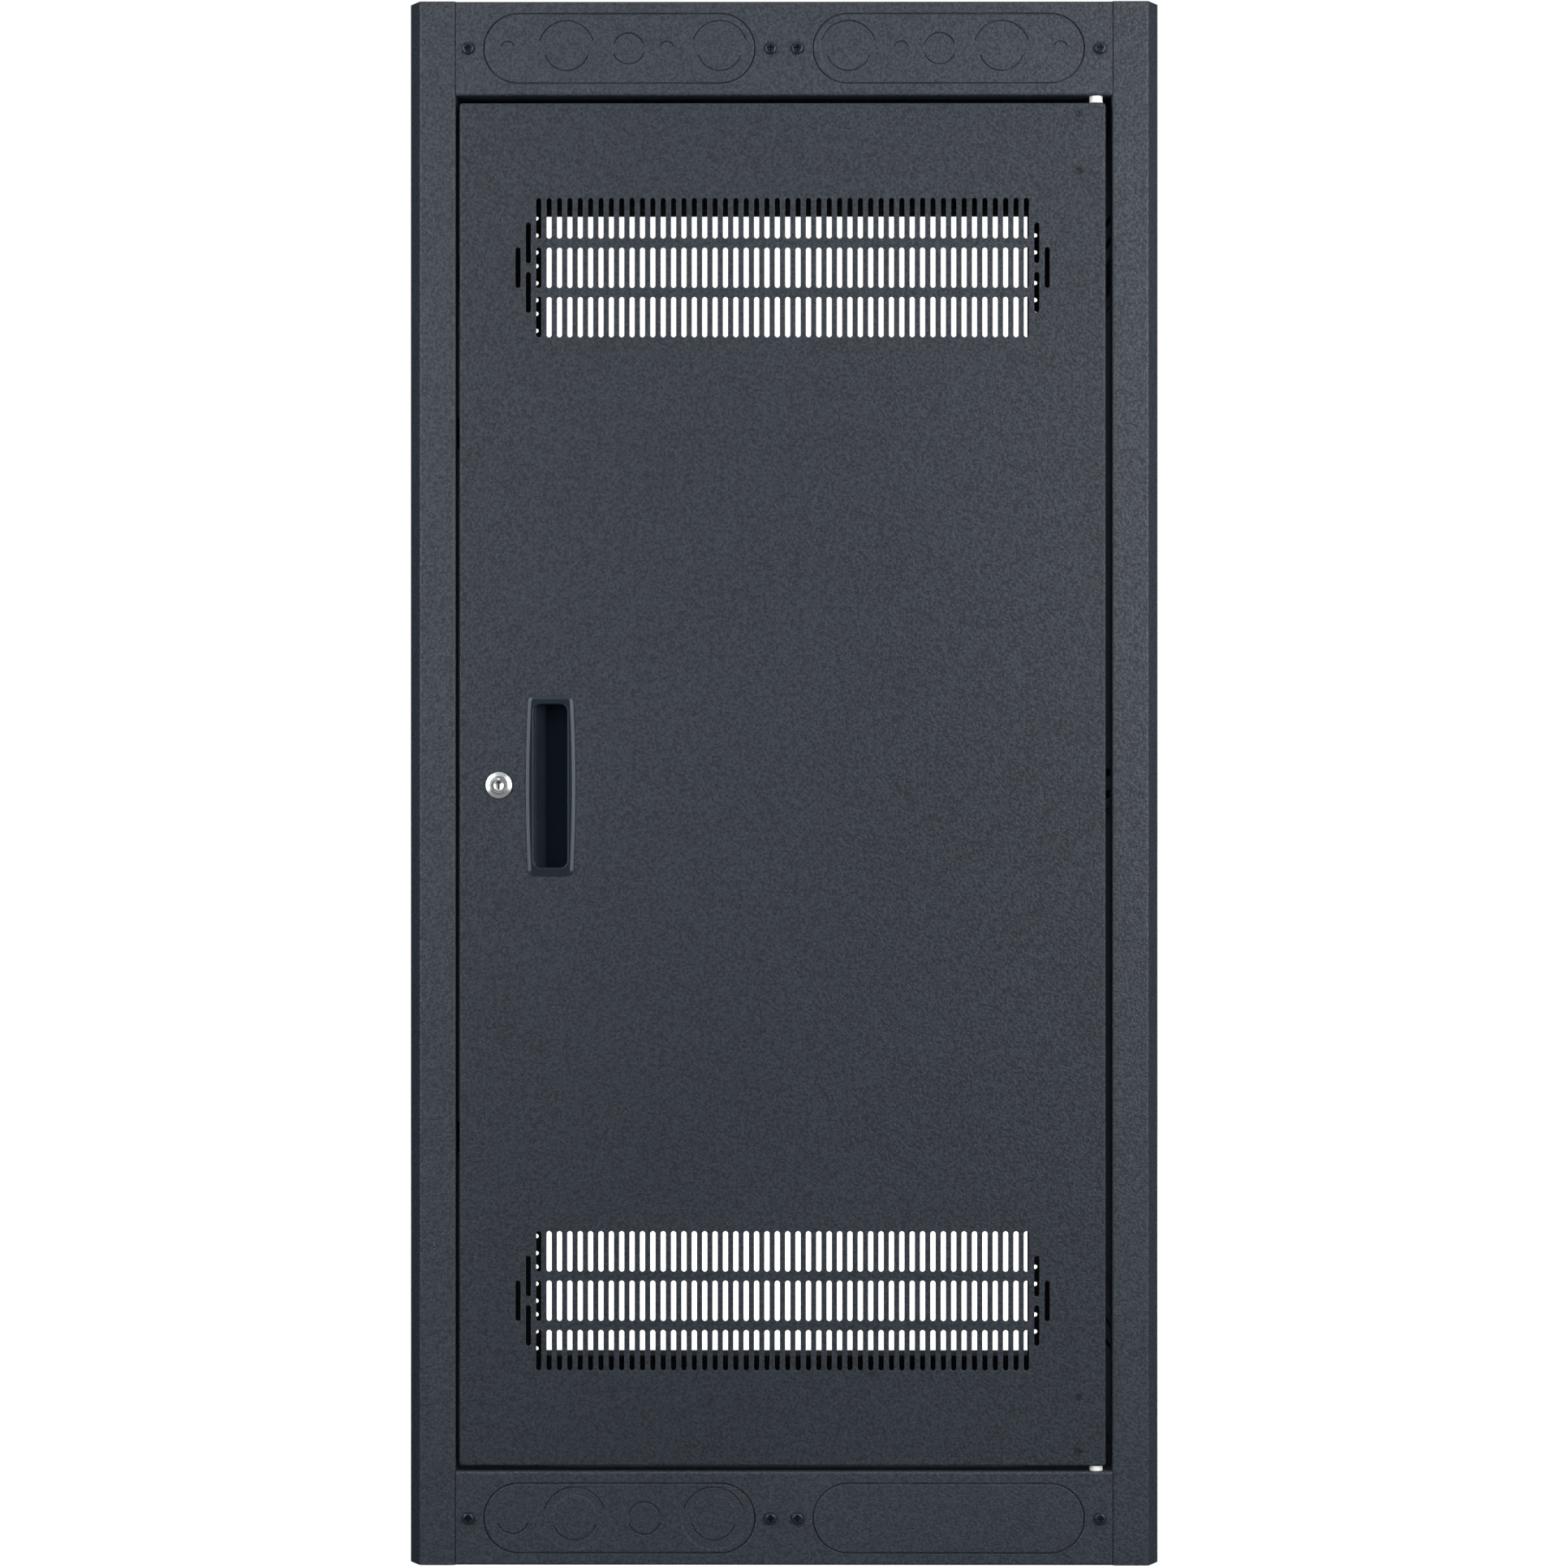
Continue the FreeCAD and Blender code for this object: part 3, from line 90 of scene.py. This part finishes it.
class Graph:
    """The shader nodes of a material or of the world.

    Inputs are given by socket name or number, as values or as output sockets.
    """

    def __init__(self, owner, output="OutputMaterial"):
        owner.use_nodes = True
        self.owner = owner
        self.tree = owner.node_tree
        self.tree.nodes.clear()
        self.out = self.add(output)

    def add(self, kind, inputs=None, **settings):
        node = self.tree.nodes.new("ShaderNode" + kind)
        for key, value in settings.items():
            setattr(node, key, value)
        for key, value in (inputs or {}).items():
            if isinstance(value, bpy.types.NodeSocket):
                self.tree.links.new(value, node.inputs[key])
            else:
                node.inputs[key].default_value = value
        return node

    def math(self, operation, first, second=0.0):
        return self.add("Math", {0: first, 1: second}, operation=operation).outputs[0]

    def product(self, first, second):
        return self.math("MULTIPLY", first, second)

    def total(self, first, second):
        return self.math("ADD", first, second)

    def vector(self, operation, first, second, output=0):
        node = self.add("VectorMath", {0: first, 1: second}, operation=operation)
        return node.outputs[output]

    def span(self, value, source, target, **settings):
        """Maps a value from the source range to the target range, clamped."""
        names = ("From Min", "From Max", "To Min", "To Max")
        inputs = {"Value": value, **dict(zip(names, (*source, *target)))}
        return self.add("MapRange", inputs, **settings).outputs["Result"]

    def vary(self, noise, low, high):
        """Spreads a noise over the values between low and high."""
        return self.span(noise, NOISE_RANGE, (low, high))

    def noise(self, coords, scale, detail=2.0, roughness=0.5):
        inputs = {"Vector": coords, "Scale": scale, "Detail": detail, "Roughness": roughness}
        return self.add("TexNoise", inputs).outputs["Fac"]

    def mix(self, factor, first, second):
        inputs = {"Factor": factor, 6: first, 7: second}
        return self.add("Mix", inputs, data_type="RGBA").outputs[2]

    def tinted(self, color, factor):
        """A colour multiplied by a grey value."""
        return self.add("VectorMath", {0: color[:3], "Scale": factor}, operation="SCALE").outputs[0]

    def coords(self):
        return self.add("TexCoord").outputs["Object"]

    def soft_edges(self, radius, samples=4):
        return self.add("Bevel", {"Radius": radius}, samples=samples).outputs["Normal"]

    def edge_mask(self, rounded):
        """One on sharp edges and zero on flat faces."""
        flat = self.add("NewGeometry").outputs["Normal"]
        agreement = self.vector("DOT_PRODUCT", rounded, flat, "Value")
        return self.span(agreement, (0.995, 0.9), (0.0, 1.0))

    def bump(self, height, rounded, depth, strength=1.0):
        inputs = {"Height": height, "Distance": depth, "Strength": strength, "Normal": rounded}
        return self.add("Bump", inputs).outputs["Normal"]

    def ends_with(self, shader):
        """Links the shader to the output and returns the finished material or world."""
        self.tree.links.new(shader.outputs[0], self.out.inputs["Surface"])
        return self.owner

    def principled(self, **inputs):
        named = {key.replace("_", " "): value for key, value in inputs.items()}
        return self.ends_with(self.add("BsdfPrincipled", named))


# Linear colours: the powder coat, the tint of the sheen on the blue-black finishes, and what shows
# where an edge is rubbed; on the powder coat that edge colour is partly wear and partly a painted
# highlight.
COAT = (0.0188, 0.0256, 0.0364)
COOL = rgb(0.78, 0.89, 1.0)
WORN_AND_HIGHLIT_COAT = rgb(0.08, 0.092, 0.11)
RUBBED_OXIDE = rgb(0.12, 0.138, 0.16)
RUBBED_METAL = grey(0.9)
RUBBED_PLASTIC = rgb(0.2, 0.225, 0.25)

# The hinge brackets' weld marks on the door: where they are, the radii between which a mark
# fades out, and how much of the coat's colour and sheen is left on it.
WELD_X = 0.2284
WELD_HEIGHTS = (0.08865, 0.1308, 1.081, 1.1257)
WELD_FADE = (0.0024, 0.0038)
WELD_LEVEL = 0.6

# Painted shade in the pull's pocket: near its floor the moulding gets a darker colour and less
# sheen, standing in for the shade of the recess. Along Y: where the painted shade starts and is
# complete, and where it ends again inside the moulding, so that the back keeps its gloss.
POCKET_FLOOR = REAR_Y + 0.014
POCKET_START = (POCKET_FLOOR - 0.004, POCKET_FLOOR - 0.0004)
POCKET_END = (POCKET_FLOOR + 0.0004, POCKET_FLOOR + 0.0008)
POCKET_SHADE_COLOR = rgb(0.0038, 0.0083, 0.0132)
POCKET_SHADE_SHEEN = 0.1


def powder_coat(name, shade, weld_marks=False):
    """Blue-black wrinkle powder coat: rounded bumps, a soft sheen and lighter edges, partly rubbed
    wear and partly a painted highlight.
    """
    g = Graph(bpy.data.materials.new(name))
    where = g.coords()
    grain = g.noise(where, scale=560.0, detail=1.0, roughness=0.6)
    pebble = g.noise(where, scale=1000.0, detail=1.0)
    broad = g.noise(where, scale=3.1)
    cloudy = g.noise(where, scale=34.0, detail=3.0)
    height = g.total(grain, g.product(pebble, 0.35))
    rounded = g.soft_edges(0.001)
    # Lighter edges: partly rubbed wear, partly a painted highlight along the bends.
    rubbed = g.product(g.edge_mask(rounded), g.span(cloudy, (0.42, 0.62), (0.15, 0.9)))
    grain_range = (0.32, 0.68)
    sheen = g.product(g.span(grain, grain_range, (0.36, 0.64)), shade)
    value = g.product(g.span(grain, grain_range, (0.68, 1.32)), g.vary(pebble, 0.85, 1.15))
    if weld_marks:
        upright = g.vector("MULTIPLY", where, (1, 0, 1))
        for weld_z in WELD_HEIGHTS:
            away = g.vector("DISTANCE", upright, (WELD_X, 0, weld_z), "Value")
            clear = g.span(away, WELD_FADE, (WELD_LEVEL, 1.0))
            value = g.product(value, clear)
            sheen = g.product(sheen, clear)
    for patches in (broad, cloudy):
        value = g.product(value, g.vary(patches, 0.96, 1.04))
    base = g.tinted([shade * channel for channel in COAT], value)
    return g.principled(
        Base_Color=g.mix(g.product(rubbed, 0.5), base, WORN_AND_HIGHLIT_COAT),
        Roughness=g.total(g.vary(grain, 0.56, 0.46), g.vary(broad, -0.02, 0.02)),
        Specular_IOR_Level=sheen,
        Normal=g.bump(height, rounded, depth=0.00042),
    )


def black_coat(name, color, rough, grain_scale, grain_depth, tint=grey(1.0)):
    """Thin black coat or oxide on steel."""
    g = Graph(bpy.data.materials.new(name))
    where = g.coords()
    grain = g.noise(where, grain_scale)
    broad = g.noise(where, scale=22.0, detail=3.0)
    rounded = g.soft_edges(0.0003)
    rubbed = g.product(g.edge_mask(rounded), g.span(broad, (0.45, 0.6), (0.1, 0.8)))
    base = g.tinted(color, g.vary(broad, 0.85, 1.15))
    return g.principled(
        Base_Color=g.mix(g.product(rubbed, 0.35), base, RUBBED_OXIDE),
        Roughness=g.vary(grain, rough - 0.06, rough + 0.06),
        Specular_Tint=tint,
        Normal=g.bump(grain, rounded, grain_depth),
    )


def metal(name, color, rough, stain):
    """Bare or plated metal: fine grain, patchy gloss and brighter worn edges."""
    g = Graph(bpy.data.materials.new(name))
    grain = g.noise(g.coords(), scale=900.0)
    patches = g.noise(g.coords(), scale=70.0, detail=3.0)
    rounded = g.soft_edges(0.0003)
    base = g.tinted(color, g.vary(patches, 1.0 - stain, 1.0))
    return g.principled(
        Base_Color=g.mix(g.product(g.edge_mask(rounded), 0.3), base, RUBBED_METAL),
        Metallic=1.0,
        Roughness=g.vary(patches, rough * 0.8, rough * 1.25),
        Normal=g.bump(grain, rounded, depth=0.000008, strength=0.6),
    )


def moulded(
    name, color, rough, pit_scale, pit_depth, sheen=0.5, glow=0.0, tint=grey(1.0), pocket=False
):
    """Moulded plastic or rubber with a fine spark-eroded grain."""
    g = Graph(bpy.data.materials.new(name))
    where = g.coords()
    pits = g.noise(where, pit_scale)
    broad = g.noise(where, scale=26.0)
    rounded = g.soft_edges(0.0005)
    worn = g.product(g.edge_mask(rounded), g.span(broad, (0.4, 0.6), (0.2, 1.0)))
    base = g.tinted(color, g.vary(broad, 0.9, 1.1))
    base = g.mix(g.product(worn, 0.06), base, RUBBED_PLASTIC)
    # Painted shade: a darker colour and less sheen near the pocket's floor stand in for the
    # recess's shade.
    if pocket:
        depth = g.add("SeparateXYZ", {0: where}).outputs["Y"]
        ahead = g.span(depth, POCKET_END, (1.0, 0.0))
        painted_pocket_shade = g.product(g.span(depth, POCKET_START, (0.0, 1.0)), ahead)
        base = g.mix(painted_pocket_shade, base, POCKET_SHADE_COLOR)
        sheen = g.span(painted_pocket_shade, (0.0, 1.0), (sheen, POCKET_SHADE_SHEEN))
    shine = g.math("SUBTRACT", g.vary(pits, rough - 0.05, rough + 0.05), g.product(worn, 0.06))
    return g.principled(
        Base_Color=base,
        Roughness=shine,
        Specular_IOR_Level=sheen,
        Specular_Tint=tint,
        Subsurface_Weight=glow,
        Subsurface_Scale=0.002,
        Normal=g.bump(pits, rounded, pit_depth),
    )


FINISHES = {
    "powder_coat": powder_coat("powder_coat", shade=1.0),
    "rail_coat": black_coat(
        "rail_coat", rgb(0.012, 0.0125, 0.014), rough=0.42, grain_scale=1400.0, grain_depth=0.00003
    ),
    "black_screw": black_coat(
        "black_screw", rgb(0.0105, 0.0145, 0.02), rough=0.27, grain_scale=2600.0,
        grain_depth=0.00001, tint=COOL,
    ),
    "zinc_steel": metal("zinc_steel", rgb(0.52, 0.54, 0.57), rough=0.3, stain=0.25),
    "spring_wire": metal("spring_wire", rgb(0.4, 0.4, 0.41), rough=0.32, stain=0.2),
    "lock_chrome": metal("lock_chrome", rgb(0.58, 0.6, 0.615), rough=0.25, stain=0.12),
    "nylon": moulded(
        "nylon", rgb(0.8, 0.8, 0.77), rough=0.42, pit_scale=1800.0, pit_depth=0.00001, glow=0.2
    ),
    "black_moulding": moulded(
        "black_moulding", rgb(0.0095, 0.0135, 0.019), rough=0.33, pit_scale=2400.0,
        pit_depth=0.000012, sheen=0.46, tint=COOL, pocket=True,
    ),
    "bumper_rubber": moulded(
        "bumper_rubber", rgb(0.016, 0.016, 0.0165), rough=0.75, pit_scale=1500.0,
        pit_depth=0.00003, sheen=0.3,
    ),
}

# The door's coat is a shade darker than the frame's, in colour and in sheen. The lock's core is
# satin where its housing is bright, and the floor sheet is matt with dust.
OWN_FINISHES = {
    "door_panel": powder_coat("powder_coat_door", shade=0.83, weld_marks=True),
    "lock_plug": metal("lock_core", rgb(0.68, 0.7, 0.715), rough=0.34, stain=0.2),
    "base_pan": moulded(
        "dusty_floor_sheet", rgb(0.019, 0.0225, 0.026), rough=0.9, pit_scale=700.0,
        pit_depth=0.00004, sheen=0.0,
    ),
}

for part in frame["record"]["subparts"]:
    node = frame["nodes"][part["node"]]
    node.data.materials.clear()
    node.data.materials.append(OWN_FINISHES.get(part["node"], FINISHES[part["material_slot"]]))


def mesh_object(name, bm, material, smooth=True):
    """An object made from a bmesh, which is freed."""
    mesh = bpy.data.meshes.new(name)
    bm.to_mesh(mesh)
    bm.free()
    for polygon in mesh.polygons:
        polygon.use_smooth = smooth
    mesh.materials.append(material)
    made = bpy.data.objects.new(name, mesh)
    bpy.context.scene.collection.objects.link(made)
    return made


def tube(bm, centres, radius, sides=12):
    """A closed tube along a line of points that mostly turns about Z."""
    rings = []
    for i, centre in enumerate(centres):
        ahead = (centres[min(i + 1, len(centres) - 1)] - centres[max(i - 1, 0)]).normalized()
        across = ahead.cross(Vector((0, 0, 1))).normalized()
        up = across.cross(ahead)
        ring = []
        for step in range(sides):
            angle = 2 * math.pi * step / sides
            outward = math.cos(angle) * across + math.sin(angle) * up
            ring.append(bm.verts.new(centre + radius * outward))
        rings.append(ring)
    for near, far in zip(rings, rings[1:]):
        for step in range(sides):
            bm.faces.new((near[step - 1], near[step], far[step], far[step - 1]))
    bm.faces.new(rings[0])
    bm.faces.new(rings[-1][::-1])


def hinge_spring():
    """The latch pin's spring, with its end coils closed up as a wound spring has them."""
    low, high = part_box("hinge_spring")
    middle = (low + high) / 2
    wire_radius = 0.00045
    radius = (high.x - low.x) / 2 - wire_radius
    reach = (high.z - low.z) / 2 - wire_radius
    turns, closed_turns, steps = 11, 1.25, 24
    count = turns * steps
    # The climbs are in wire radii, and are then stretched to the spring's height.
    closed_climb, open_climb = 2.04, 6.2
    climbs = [0.0]
    for i in range(count):
        from_end = min(i + 0.5, count - i - 0.5) / steps
        climbs.append(climbs[-1] + (closed_climb if from_end < closed_turns else open_climb))
    centres = []
    for i, climb in enumerate(climbs):
        angle = 2 * math.pi * i / steps
        x, y = radius * math.cos(angle), radius * math.sin(angle)
        z = middle.z - reach + 2 * reach * climb / climbs[-1]
        centres.append(Vector((middle.x + x, middle.y + y, z)))
    bm = bmesh.new()
    tube(bm, centres, wire_radius)
    spring = mesh_object("latch_spring", bm, FINISHES["spring_wire"])
    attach(spring, "door")
    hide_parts("hinge_spring")
    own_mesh(spring)


hinge_spring()

# The stage, in metres: the floor, the surround, and the distances between which the floor's
# glow goes from near to far.
FLOOR_HALF = 30.0
SURROUND_RADIUS = 40.0
GLOW_DISTANCES = (1.5, 6.0)
FLOOR_NEAR, FLOOR_FAR = 0.82, 1.02
FLOOR_PAINT = 0.5
SURROUND_GLOW = 1.05

# Painted shadow under the cabinet: there the floor keeps this share of its brightness, and clears
# up over the last part of the way to the cabinet's outline.
SHADOW_UNDER_LEVEL = 0.02
SHADOW_UNDER_EDGE = (0.94, 1.0)


def stage_material(name, near_glow, far_glow, pale, shadow_outline=None):
    """A pale surface whose glow goes from near to far with the distance from the cabinet.

    It has a painted shadow under the cabinet: it is nearly dark inside the shadow outline, a
    rectangle round the origin given by its half sizes.
    """
    g = Graph(bpy.data.materials.new(name))
    place = g.coords()
    distance = g.add("VectorMath", {0: place}, operation="LENGTH").outputs["Value"]
    glow = g.span(distance, GLOW_DISTANCES, (near_glow, far_glow))
    paint_color = grey(pale)
    # Painted shadow: the glow and the paint are darkened under the cabinet's outline.
    if shadow_outline:
        across, along, _ = g.add("SeparateXYZ", {0: place}).outputs
        across = g.math("DIVIDE", g.math("ABSOLUTE", across), shadow_outline[0])
        along = g.math("DIVIDE", g.math("ABSOLUTE", along), shadow_outline[1])
        clear = g.span(g.math("MAXIMUM", across, along), SHADOW_UNDER_EDGE, (SHADOW_UNDER_LEVEL, 1.0))
        glow = g.product(glow, clear)
        paint_color = g.tinted(paint_color, clear)
    light = g.add("Emission", {"Color": grey(1.0), "Strength": glow})
    paint = g.add("BsdfDiffuse", {"Color": paint_color})
    return g.ends_with(g.add("AddShader", {0: light.outputs[0], 1: paint.outputs[0]}))


def seen_only(obj):
    """The object shows in the picture but neither lights nor shades the cabinet."""
    obj.visible_diffuse = False
    obj.visible_glossy = False
    obj.visible_transmission = False
    obj.visible_shadow = False


def studio_floor():
    bm = bmesh.new()
    corners = [(-1, -1), (1, -1), (1, 1), (-1, 1)]
    bm.faces.new([bm.verts.new((FLOOR_HALF * x, FLOOR_HALF * y, 0)) for x, y in corners])
    outline = (cad_high.x, cad_high.y)
    paint = stage_material("studio_floor", FLOOR_NEAR, FLOOR_FAR, FLOOR_PAINT, shadow_outline=outline)
    floor = mesh_object("studio_floor", bm, paint, smooth=False)
    seen_only(floor)


def studio_surround():
    bm = bmesh.new()
    bmesh.ops.create_icosphere(bm, subdivisions=3, radius=SURROUND_RADIUS)
    paint = stage_material("studio_surround", SURROUND_GLOW, SURROUND_GLOW, pale=0.0)
    surround = mesh_object("studio_surround", bm, paint)
    seen_only(surround)


def area_light(name, place, target, size, radiance, glossy=True):
    """A soft rectangular light of a given radiance, facing a target."""
    width, height = size
    data = bpy.data.lights.new(name, "AREA")
    data.shape = "RECTANGLE"
    data.size, data.size_y = width, height
    data.energy = radiance * math.pi * width * height
    light = bpy.data.objects.new(name, data)
    light.location = place
    light.rotation_mode = "QUATERNION"
    light.rotation_quaternion = (Vector(target) - Vector(place)).to_track_quat("-Z", "Y")
    light.visible_camera = False
    light.visible_glossy = glossy
    bpy.context.scene.collection.objects.link(light)


# Radiance of the surroundings: low down and high up on the door's side, to the right, and high
# up on the far side.
WORLD_LOW, WORLD_HIGH = 0.55, 1.0
WORLD_FLANK, WORLD_BEHIND = 0.2, 0.3


def studio_world():
    """Soft surrounding light by direction, with soft steps between the parts.

    Pale walls stand on the door's side, round a dark bay straight ahead of the door.
    """
    world = bpy.data.worlds.new("studio")
    bpy.context.scene.world = world
    g = Graph(world, "OutputWorld")
    right, back, up = g.add("SeparateXYZ", {0: g.add("TexCoord").outputs["Generated"]}).outputs

    def step(direction, source, target):
        return g.span(direction, source, target, interpolation_type="SMOOTHSTEP")

    walls = step(up, (-0.1, 0.3), (WORLD_LOW, WORLD_HIGH))
    bay = step(back, (-0.94, -0.74), (0.0, 1.0))
    ahead = g.product(step(back, (-0.6, -0.1), (1.0, 0.0)), bay)
    overhead = step(up, (0.4, 0.8), (0.0, WORLD_BEHIND))
    behind = g.product(step(back, (-0.1, 0.3), (0.0, 1.0)), overhead)
    flank = step(right, (0.5, 0.9), (0.0, WORLD_FLANK))
    level = g.total(g.total(g.product(walls, ahead), behind), flank)
    g.ends_with(g.add("Background", {"Strength": level}))


def camera():
    data = bpy.data.cameras.new("camera")
    data.lens = CAMERA_LENS
    data.sensor_width = SENSOR
    data.clip_start, data.clip_end = CLIP
    cam = bpy.data.objects.new("camera", data)
    place = Vector((CAMERA_X, REAR_Y - CAMERA_DISTANCE, CAMERA_Z))
    cam.location = place
    cam.rotation_mode = "QUATERNION"
    cam.rotation_quaternion = (Vector((0, REAR_Y, CAMERA_Z)) - place).to_track_quat("-Z", "Y")
    bpy.context.scene.collection.objects.link(cam)
    bpy.context.scene.camera = cam


studio_floor()
studio_surround()
studio_world()

# The softboxes: place, what they face, width and height, and radiance.
DOOR_SIDE = (0, -0.28, 0.7)
OPEN_SIDE = (0, 0.28, 0.7)
area_light("left_softbox", (-1.25, -1.5, 1.0), DOOR_SIDE, (0.6, 1.6), 7.0)
area_light("right_softbox", (1.15, -1.42, 1.0), DOOR_SIDE, (1.1, 1.6), 4.65)
area_light("top_softbox", (0.0, -1.1, 2.5), (0, -0.28, 0.9), (1.8, 0.9), 0.9)
# The open side's lights raise no sheen, so that none of it streaks the slanted corners or the
# door's gaps.
area_light("far_left_softbox", (-1.65, 1.85, 1.0), OPEN_SIDE, (0.8, 1.6), 7.5, glossy=False)
area_light("far_right_softbox", (1.65, 1.85, 1.0), OPEN_SIDE, (0.8, 1.6), 7.5, glossy=False)
area_light("far_top_softbox", (0.0, 2.4, 1.9), (0, 0.28, 0.6), (1.6, 0.9), 5.0, glossy=False)
camera()
bpy.context.scene.view_settings.view_transform = "Standard"
